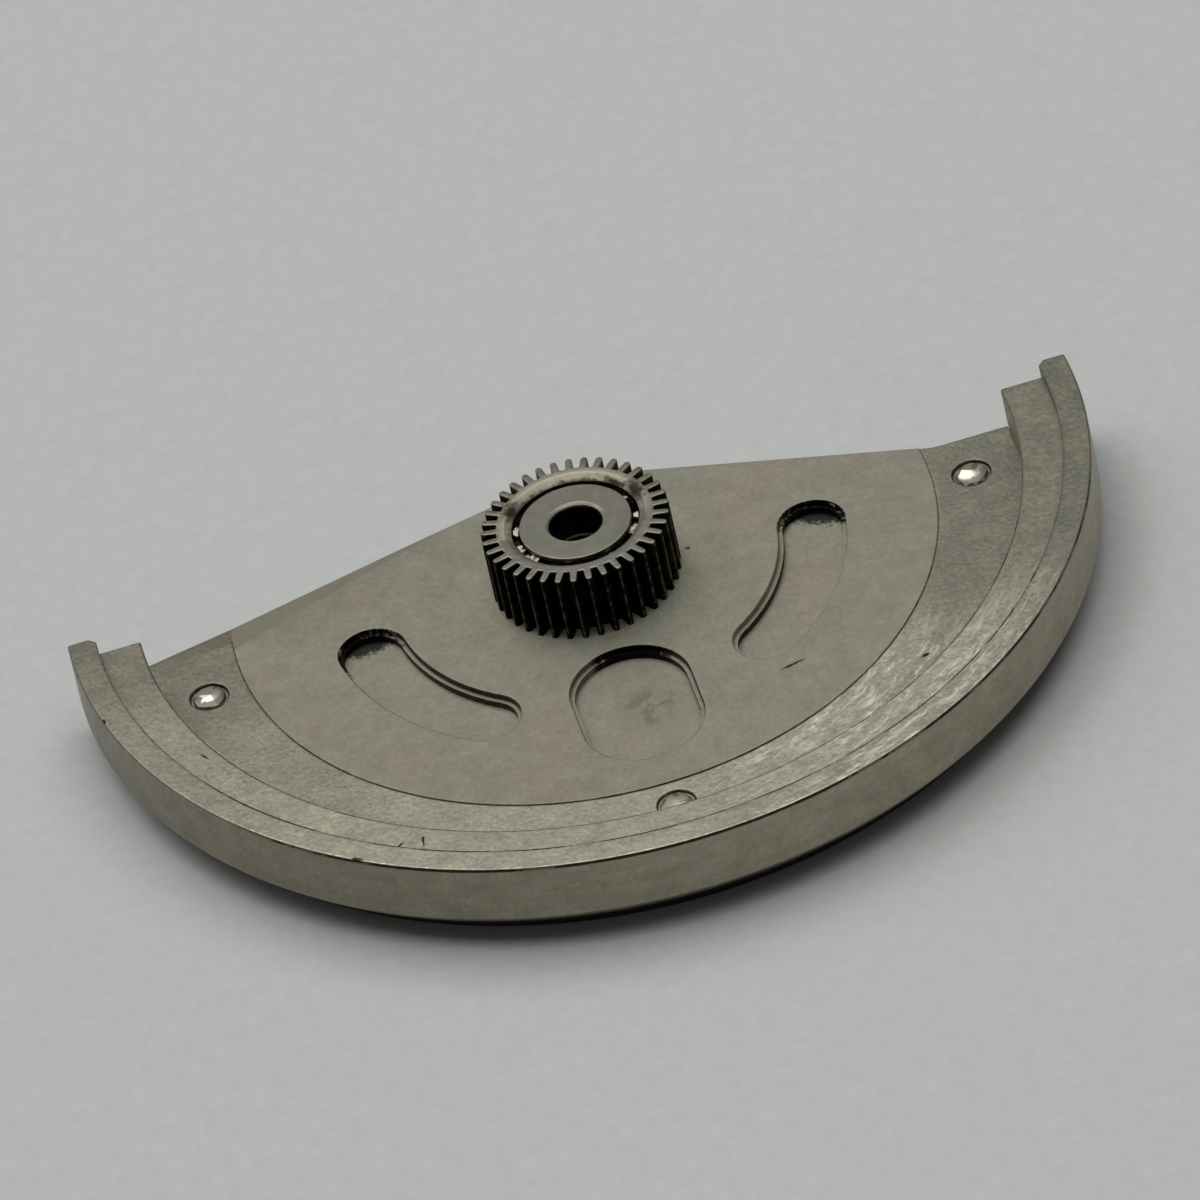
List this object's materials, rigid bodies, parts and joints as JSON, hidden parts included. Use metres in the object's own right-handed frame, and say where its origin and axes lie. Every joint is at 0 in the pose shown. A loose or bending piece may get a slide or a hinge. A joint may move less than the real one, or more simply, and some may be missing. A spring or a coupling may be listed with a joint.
{
  "type": "automatic watch rotor",
  "caption": "Automatic watch rotor: slotted plates, a riveted heavy half ring, and a toothed ball bearing at the hub that turns on its bore.",
  "frame": {"origin": "where the spin axis crosses the plane of the ball centres", "axes": "+Z along the spin axis, out of the movement side; the heavy half ring lies towards -Y, and +X runs across it"},
  "size_m": [0.026, 0.0169, 0.0027],
  "materials": {
    "plate_metal": "satin nickel grey, faintly brushed",
    "weight_metal": "matt, finely grained",
    "rivet_metal": "bright, peened",
    "gear_steel": "satin, worn",
    "race_steel": "ground and turned",
    "cage_metal": "satin",
    "ball_steel": "polished"
  },
  "bodies": {
    "bearing_core": {"inner_race_upper": "race_steel", "inner_race_lower": "race_steel"},
    "rotor": {"carrier_plate": "plate_metal", "face_plate": "plate_metal", "weight_segment": "weight_metal", "weight_rivets": "rivet_metal", "outer_ring": "gear_steel"},
    "cage": {"ball_cage": "cage_metal"},
    "ball_1": {"ball_1": "ball_steel"},
    "ball_2": {"ball_2": "ball_steel"},
    "ball_3": {"ball_3": "ball_steel"},
    "ball_4": {"ball_4": "ball_steel"},
    "ball_5": {"ball_5": "ball_steel"},
    "ball_6": {"ball_6": "ball_steel"},
    "ball_7": {"ball_7": "ball_steel"},
    "ball_8": {"ball_8": "ball_steel"}
  },
  "joints": [
    {"name": "rotor_spin", "type": "hinge", "parent": "bearing_core", "child": "rotor", "pos_m": [0, 0, 0], "axis": [0, 0, 1], "continuous": true},
    {"name": "cage_spin", "type": "hinge", "parent": "bearing_core", "child": "cage", "pos_m": [0, 0, 0], "axis": [0, 0, 1], "continuous": true},
    {"name": "ball_1_spin", "type": "hinge", "parent": "cage", "child": "ball_1", "pos_m": [0.0014, 0.00058, 0], "axis": [0, 0, 1], "continuous": true},
    {"name": "ball_2_spin", "type": "hinge", "parent": "cage", "child": "ball_2", "pos_m": [0.00058, 0.0014, 0], "axis": [0, 0, 1], "continuous": true},
    {"name": "ball_3_spin", "type": "hinge", "parent": "cage", "child": "ball_3", "pos_m": [-0.00058, 0.0014, 0], "axis": [0, 0, 1], "continuous": true},
    {"name": "ball_4_spin", "type": "hinge", "parent": "cage", "child": "ball_4", "pos_m": [-0.0014, 0.00058, 0], "axis": [0, 0, 1], "continuous": true},
    {"name": "ball_5_spin", "type": "hinge", "parent": "cage", "child": "ball_5", "pos_m": [-0.0014, -0.00058, 0], "axis": [0, 0, 1], "continuous": true},
    {"name": "ball_6_spin", "type": "hinge", "parent": "cage", "child": "ball_6", "pos_m": [-0.00058, -0.0014, 0], "axis": [0, 0, 1], "continuous": true},
    {"name": "ball_7_spin", "type": "hinge", "parent": "cage", "child": "ball_7", "pos_m": [0.00058, -0.0014, 0], "axis": [0, 0, 1], "continuous": true},
    {"name": "ball_8_spin", "type": "hinge", "parent": "cage", "child": "ball_8", "pos_m": [0.0014, -0.00058, 0], "axis": [0, 0, 1], "continuous": true}
  ],
  "couplings": [
    {"joint": "cage_spin", "follows": "rotor_spin", "ratio": 0.58224},
    {"joint": "ball_1_spin", "follows": "rotor_spin", "ratio": 2.9578},
    {"joint": "ball_2_spin", "follows": "rotor_spin", "ratio": 2.9578},
    {"joint": "ball_3_spin", "follows": "rotor_spin", "ratio": 2.9578},
    {"joint": "ball_4_spin", "follows": "rotor_spin", "ratio": 2.9578},
    {"joint": "ball_5_spin", "follows": "rotor_spin", "ratio": 2.9578},
    {"joint": "ball_6_spin", "follows": "rotor_spin", "ratio": 2.9578},
    {"joint": "ball_7_spin", "follows": "rotor_spin", "ratio": 2.9578},
    {"joint": "ball_8_spin", "follows": "rotor_spin", "ratio": 2.9578}
  ]
}
